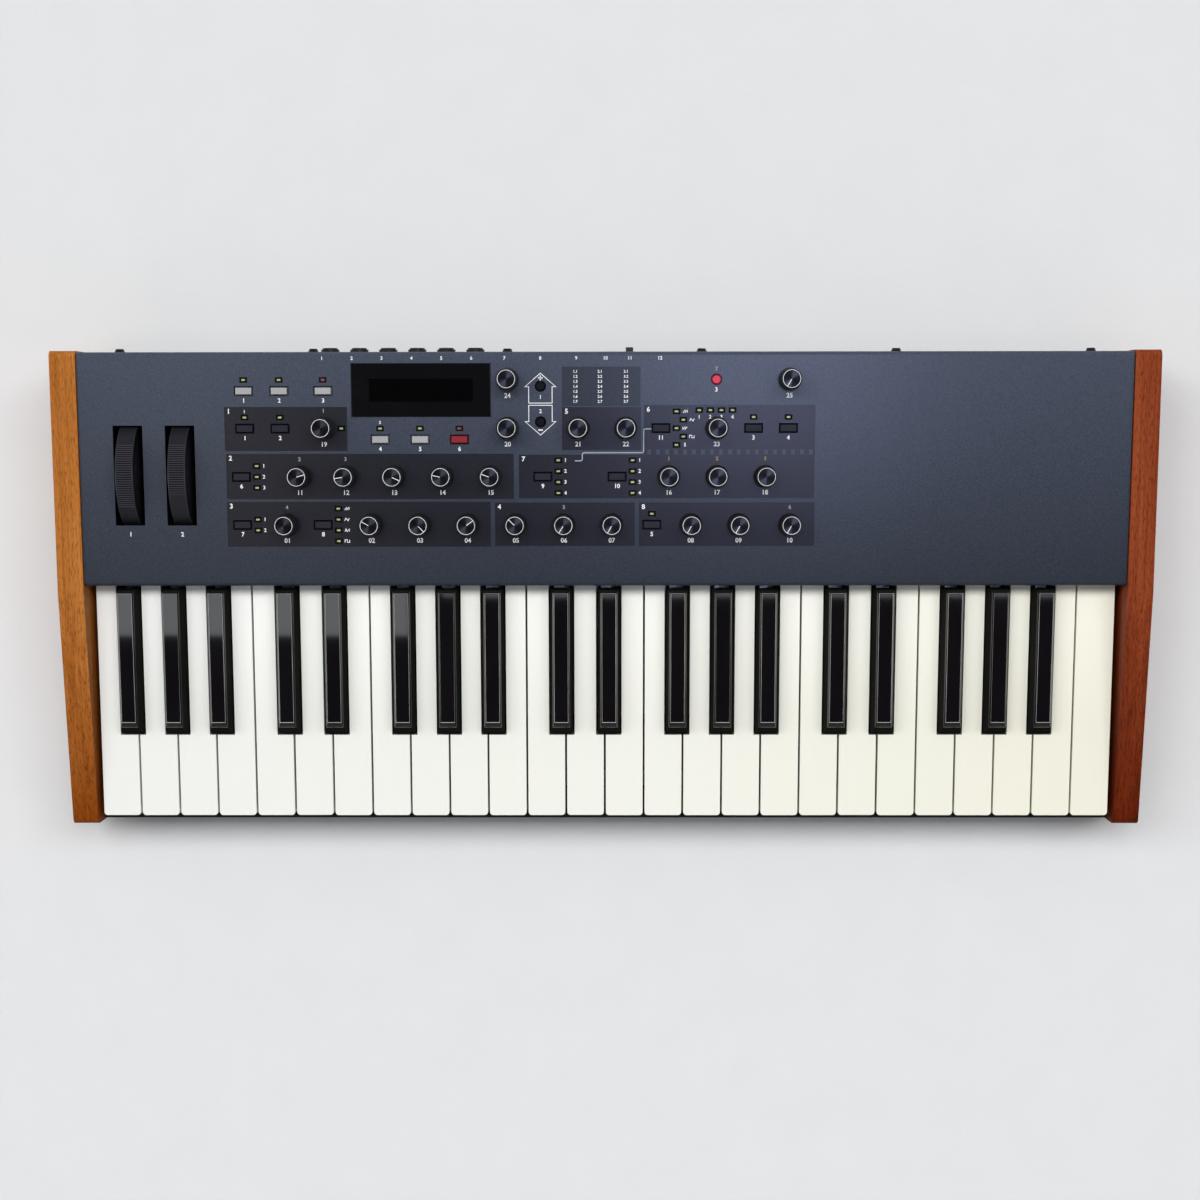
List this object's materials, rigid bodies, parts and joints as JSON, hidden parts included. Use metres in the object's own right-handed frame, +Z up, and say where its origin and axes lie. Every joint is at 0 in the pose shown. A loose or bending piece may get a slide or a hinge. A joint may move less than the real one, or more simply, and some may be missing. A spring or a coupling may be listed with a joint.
{
  "type": "synthesizer",
  "caption": "Compact keyboard synthesizer with sloped wood cheeks, a dark metal knob panel, pitch and modulation wheels, a display window and full-size sprung keys.",
  "frame": {"origin": "centre of the bounding box's footprint, on the table under the rubber feet", "axes": "+X along the keys from low to high notes, +Y from the player to the rear sockets, +Z up"},
  "size_m": [0.6484, 0.2864, 0.0901],
  "materials": {
    "pan_steel": "black powder coat",
    "panel_coat": "fine dark blue-grey powder coat",
    "cheek_wood": "oiled hardwood, long grain",
    "frame_steel": "zinc-plated",
    "felt": "dense felt",
    "window": "polished black acrylic",
    "circuit_board": "solder mask",
    "light_resin": "tinted resin",
    "socket_plastic": "moulded",
    "bracket_plastic": "moulded",
    "foot_rubber": "soft rubber",
    "screw_steel": "black oxide",
    "wheel_plastic": "ribbed satin plastic",
    "light_cap": "satin",
    "dark_cap": "satin",
    "red_cap": "satin",
    "white_key": "polished",
    "black_key": "polished",
    "knob_rubber": "soft-touch skirt with a spun metal top"
  },
  "bodies": {
    "chassis": {"base_pan": "pan_steel", "top_panel": "panel_coat", "left_cheek": "cheek_wood", "right_cheek": "cheek_wood", "key_frame": "frame_steel", "hinge_rod": "frame_steel", "key_felts": "felt", "display_window": "window", "control_board": "circuit_board", "indicator_lights": "light_resin", "main_board": "circuit_board", "audio_jacks": "socket_plastic", "data_sockets": "socket_plastic", "wheel_bracket": "bracket_plastic", "rubber_feet": "foot_rubber", "case_screws": "screw_steel"},
    "keys_f": {"keys_f": "white_key"},
    "keys_g": {"keys_g": "white_key"},
    "keys_a": {"keys_a": "white_key"},
    "keys_b": {"keys_b": "white_key"},
    "keys_c": {"keys_c": "white_key"},
    "keys_d": {"keys_d": "white_key"},
    "keys_e": {"keys_e": "white_key"},
    "keys_f_sharp": {"keys_f_sharp": "black_key"},
    "keys_g_sharp": {"keys_g_sharp": "black_key"},
    "keys_a_sharp": {"keys_a_sharp": "black_key"},
    "keys_c_sharp": {"keys_c_sharp": "black_key"},
    "keys_d_sharp": {"keys_d_sharp": "black_key"},
    "pitch_wheel": {"pitch_wheel": "wheel_plastic"},
    "mod_wheel": {"mod_wheel": "wheel_plastic"},
    "power_switch": {"power_switch": "socket_plastic"},
    "light_buttons": {"light_buttons": "light_cap"},
    "dark_buttons": {"dark_buttons": "dark_cap"},
    "red_buttons": {"red_buttons": "red_cap"},
    "step_buttons": {"step_buttons": "dark_cap"},
    "knob_osc_pitch": {"knob_osc_pitch": "knob_rubber"},
    "knob_pulse_width": {"knob_pulse_width": "knob_rubber"},
    "knob_glide": {"knob_glide": "knob_rubber"},
    "knob_sub_level": {"knob_sub_level": "knob_rubber"},
    "knob_osc_mix": {"knob_osc_mix": "knob_rubber"},
    "knob_feedback": {"knob_feedback": "knob_rubber"},
    "knob_noise": {"knob_noise": "knob_rubber"},
    "knob_cutoff": {"knob_cutoff": "knob_rubber"},
    "knob_resonance": {"knob_resonance": "knob_rubber"},
    "knob_audio_mod": {"knob_audio_mod": "knob_rubber"},
    "knob_env_amount": {"knob_env_amount": "knob_rubber"},
    "knob_attack": {"knob_attack": "knob_rubber"},
    "knob_decay": {"knob_decay": "knob_rubber"},
    "knob_sustain": {"knob_sustain": "knob_rubber"},
    "knob_release": {"knob_release": "knob_rubber"},
    "knob_mod_source": {"knob_mod_source": "knob_rubber"},
    "knob_mod_target": {"knob_mod_target": "knob_rubber"},
    "knob_mod_amount": {"knob_mod_amount": "knob_rubber"},
    "knob_tempo": {"knob_tempo": "knob_rubber"},
    "knob_param_2": {"knob_param_2": "knob_rubber"},
    "knob_misc_select": {"knob_misc_select": "knob_rubber"},
    "knob_misc_value": {"knob_misc_value": "knob_rubber"},
    "knob_lfo_rate": {"knob_lfo_rate": "knob_rubber"},
    "knob_param_1": {"knob_param_1": "knob_rubber"},
    "knob_volume": {"knob_volume": "knob_rubber"}
  },
  "joints": [
    {"name": "keys_f_press", "type": "hinge", "parent": "chassis", "child": "keys_f", "pos_m": [0, 0.0208, 0.05], "axis": [1, 0, 0], "range_deg": [0, 3.61], "stiffness_Nm_per_rad": 2, "springref_deg": -9.17},
    {"name": "keys_f_sharp_press", "type": "hinge", "parent": "chassis", "child": "keys_f_sharp", "pos_m": [0, 0.0208, 0.05], "axis": [1, 0, 0], "range_deg": [0, 3.61], "stiffness_Nm_per_rad": 2, "springref_deg": -9.17},
    {"name": "keys_g_press", "type": "hinge", "parent": "chassis", "child": "keys_g", "pos_m": [0, 0.0208, 0.05], "axis": [1, 0, 0], "range_deg": [0, 3.61], "stiffness_Nm_per_rad": 2, "springref_deg": -9.17},
    {"name": "keys_g_sharp_press", "type": "hinge", "parent": "chassis", "child": "keys_g_sharp", "pos_m": [0, 0.0208, 0.05], "axis": [1, 0, 0], "range_deg": [0, 3.61], "stiffness_Nm_per_rad": 2, "springref_deg": -9.17},
    {"name": "keys_a_press", "type": "hinge", "parent": "chassis", "child": "keys_a", "pos_m": [0, 0.0208, 0.05], "axis": [1, 0, 0], "range_deg": [0, 3.61], "stiffness_Nm_per_rad": 2, "springref_deg": -9.17},
    {"name": "keys_a_sharp_press", "type": "hinge", "parent": "chassis", "child": "keys_a_sharp", "pos_m": [0, 0.0208, 0.05], "axis": [1, 0, 0], "range_deg": [0, 3.61], "stiffness_Nm_per_rad": 2, "springref_deg": -9.17},
    {"name": "keys_b_press", "type": "hinge", "parent": "chassis", "child": "keys_b", "pos_m": [0, 0.0208, 0.05], "axis": [1, 0, 0], "range_deg": [0, 3.61], "stiffness_Nm_per_rad": 2, "springref_deg": -9.17},
    {"name": "keys_c_press", "type": "hinge", "parent": "chassis", "child": "keys_c", "pos_m": [0, 0.0208, 0.05], "axis": [1, 0, 0], "range_deg": [0, 3.61], "stiffness_Nm_per_rad": 2, "springref_deg": -9.17},
    {"name": "keys_c_sharp_press", "type": "hinge", "parent": "chassis", "child": "keys_c_sharp", "pos_m": [0, 0.0208, 0.05], "axis": [1, 0, 0], "range_deg": [0, 3.61], "stiffness_Nm_per_rad": 1.5, "springref_deg": -9.17},
    {"name": "keys_d_press", "type": "hinge", "parent": "chassis", "child": "keys_d", "pos_m": [0, 0.0208, 0.05], "axis": [1, 0, 0], "range_deg": [0, 3.61], "stiffness_Nm_per_rad": 1.5, "springref_deg": -9.17},
    {"name": "keys_d_sharp_press", "type": "hinge", "parent": "chassis", "child": "keys_d_sharp", "pos_m": [0, 0.0208, 0.05], "axis": [1, 0, 0], "range_deg": [0, 3.61], "stiffness_Nm_per_rad": 1.5, "springref_deg": -9.17},
    {"name": "keys_e_press", "type": "hinge", "parent": "chassis", "child": "keys_e", "pos_m": [0, 0.0208, 0.05], "axis": [1, 0, 0], "range_deg": [0, 3.61], "stiffness_Nm_per_rad": 1.5, "springref_deg": -9.17},
    {"name": "pitch_bend", "type": "hinge", "parent": "chassis", "child": "pitch_wheel", "pos_m": [-0.27993, 0.06765, 0.0561], "axis": [-1, 0, 0], "range_deg": [-30, 30], "stiffness_Nm_per_rad": 0.15},
    {"name": "mod_turn", "type": "hinge", "parent": "chassis", "child": "mod_wheel", "pos_m": [-0.24933, 0.06765, 0.0561], "axis": [-1, 0, 0], "range_deg": [0, 60]},
    {"name": "power_push", "type": "slide", "parent": "chassis", "child": "power_switch", "axis": [0, -1, 0], "range_m": [0, 0.0025], "stiffness_N_per_m": 800, "springref_m": -0.001},
    {"name": "light_buttons_push", "type": "slide", "parent": "chassis", "child": "light_buttons", "axis": [0, 0, -1], "range_m": [0, 0.0007], "stiffness_N_per_m": 1500, "springref_m": -0.001},
    {"name": "dark_buttons_push", "type": "slide", "parent": "chassis", "child": "dark_buttons", "axis": [0, 0, -1], "range_m": [0, 0.0007], "stiffness_N_per_m": 3300, "springref_m": -0.001},
    {"name": "red_buttons_push", "type": "slide", "parent": "chassis", "child": "red_buttons", "axis": [0, 0, -1], "range_m": [0, 0.0007], "stiffness_N_per_m": 600, "springref_m": -0.001},
    {"name": "step_buttons_push", "type": "slide", "parent": "chassis", "child": "step_buttons", "axis": [0, 0, -1], "range_m": [0, 0.0007], "stiffness_N_per_m": 600, "springref_m": -0.001},
    {"name": "knob_osc_pitch_turn", "type": "hinge", "parent": "chassis", "child": "knob_osc_pitch", "pos_m": [-0.18723, 0.0388, 0.0746], "axis": [0, 0, 1], "continuous": true},
    {"name": "knob_pulse_width_turn", "type": "hinge", "parent": "chassis", "child": "knob_pulse_width", "pos_m": [-0.13743, 0.0388, 0.0746], "axis": [0, 0, 1], "range_deg": [-210, 90]},
    {"name": "knob_glide_turn", "type": "hinge", "parent": "chassis", "child": "knob_glide", "pos_m": [-0.10893, 0.0388, 0.0746], "axis": [0, 0, 1], "range_deg": [-15, 285]},
    {"name": "knob_sub_level_turn", "type": "hinge", "parent": "chassis", "child": "knob_sub_level", "pos_m": [-0.08073, 0.0388, 0.0746], "axis": [0, 0, 1], "range_deg": [-96, 204]},
    {"name": "knob_osc_mix_turn", "type": "hinge", "parent": "chassis", "child": "knob_osc_mix", "pos_m": [-0.05233, 0.0388, 0.0746], "axis": [0, 0, 1], "range_deg": [-195, 105]},
    {"name": "knob_feedback_turn", "type": "hinge", "parent": "chassis", "child": "knob_feedback", "pos_m": [-0.02393, 0.0388, 0.0746], "axis": [0, 0, 1], "range_deg": [-298, 2]},
    {"name": "knob_noise_turn", "type": "hinge", "parent": "chassis", "child": "knob_noise", "pos_m": [0.00427, 0.0388, 0.0746], "axis": [0, 0, 1], "range_deg": [-300, 0]},
    {"name": "knob_cutoff_turn", "type": "hinge", "parent": "chassis", "child": "knob_cutoff", "pos_m": [0.05087, 0.0388, 0.0746], "axis": [0, 0, 1], "range_deg": [-300, 0]},
    {"name": "knob_resonance_turn", "type": "hinge", "parent": "chassis", "child": "knob_resonance", "pos_m": [0.07907, 0.0388, 0.0746], "axis": [0, 0, 1], "range_deg": [-300, 0]},
    {"name": "knob_audio_mod_turn", "type": "hinge", "parent": "chassis", "child": "knob_audio_mod", "pos_m": [0.10907, 0.0388, 0.0746], "axis": [0, 0, 1], "range_deg": [-300, 0]},
    {"name": "knob_env_amount_turn", "type": "hinge", "parent": "chassis", "child": "knob_env_amount", "pos_m": [-0.17923, 0.0669, 0.0746], "axis": [0, 0, 1], "range_deg": [-78, 222]},
    {"name": "knob_attack_turn", "type": "hinge", "parent": "chassis", "child": "knob_attack", "pos_m": [-0.15213, 0.0669, 0.0746], "axis": [0, 0, 1], "range_deg": [-249, 51]},
    {"name": "knob_decay_turn", "type": "hinge", "parent": "chassis", "child": "knob_decay", "pos_m": [-0.12373, 0.0669, 0.0746], "axis": [0, 0, 1], "range_deg": [-36, 264]},
    {"name": "knob_sustain_turn", "type": "hinge", "parent": "chassis", "child": "knob_sustain", "pos_m": [-0.09533, 0.0669, 0.0746], "axis": [0, 0, 1], "range_deg": [-228, 72]},
    {"name": "knob_release_turn", "type": "hinge", "parent": "chassis", "child": "knob_release", "pos_m": [-0.06693, 0.0669, 0.0746], "axis": [0, 0, 1], "range_deg": [-219, 81]},
    {"name": "knob_mod_source_turn", "type": "hinge", "parent": "chassis", "child": "knob_mod_source", "pos_m": [0.03777, 0.0669, 0.0746], "axis": [0, 0, 1], "continuous": true},
    {"name": "knob_mod_target_turn", "type": "hinge", "parent": "chassis", "child": "knob_mod_target", "pos_m": [0.06607, 0.0669, 0.0746], "axis": [0, 0, 1], "continuous": true},
    {"name": "knob_mod_amount_turn", "type": "hinge", "parent": "chassis", "child": "knob_mod_amount", "pos_m": [0.09427, 0.0669, 0.0746], "axis": [0, 0, 1], "continuous": true},
    {"name": "knob_tempo_turn", "type": "hinge", "parent": "chassis", "child": "knob_tempo", "pos_m": [-0.16463, 0.095, 0.0746], "axis": [0, 0, 1], "continuous": true},
    {"name": "knob_param_2_turn", "type": "hinge", "parent": "chassis", "child": "knob_param_2", "pos_m": [-0.05673, 0.095, 0.0746], "axis": [0, 0, 1], "continuous": true},
    {"name": "knob_misc_select_turn", "type": "hinge", "parent": "chassis", "child": "knob_misc_select", "pos_m": [-0.01533, 0.095, 0.0746], "axis": [0, 0, 1], "continuous": true},
    {"name": "knob_misc_value_turn", "type": "hinge", "parent": "chassis", "child": "knob_misc_value", "pos_m": [0.01257, 0.095, 0.0746], "axis": [0, 0, 1], "continuous": true},
    {"name": "knob_lfo_rate_turn", "type": "hinge", "parent": "chassis", "child": "knob_lfo_rate", "pos_m": [0.06587, 0.095, 0.0746], "axis": [0, 0, 1], "continuous": true},
    {"name": "knob_param_1_turn", "type": "hinge", "parent": "chassis", "child": "knob_param_1", "pos_m": [-0.05673, 0.1231, 0.0746], "axis": [0, 0, 1], "continuous": true},
    {"name": "knob_volume_turn", "type": "hinge", "parent": "chassis", "child": "knob_volume", "pos_m": [0.10817, 0.1231, 0.0746], "axis": [0, 0, 1], "range_deg": [-300, 0]}
  ]
}
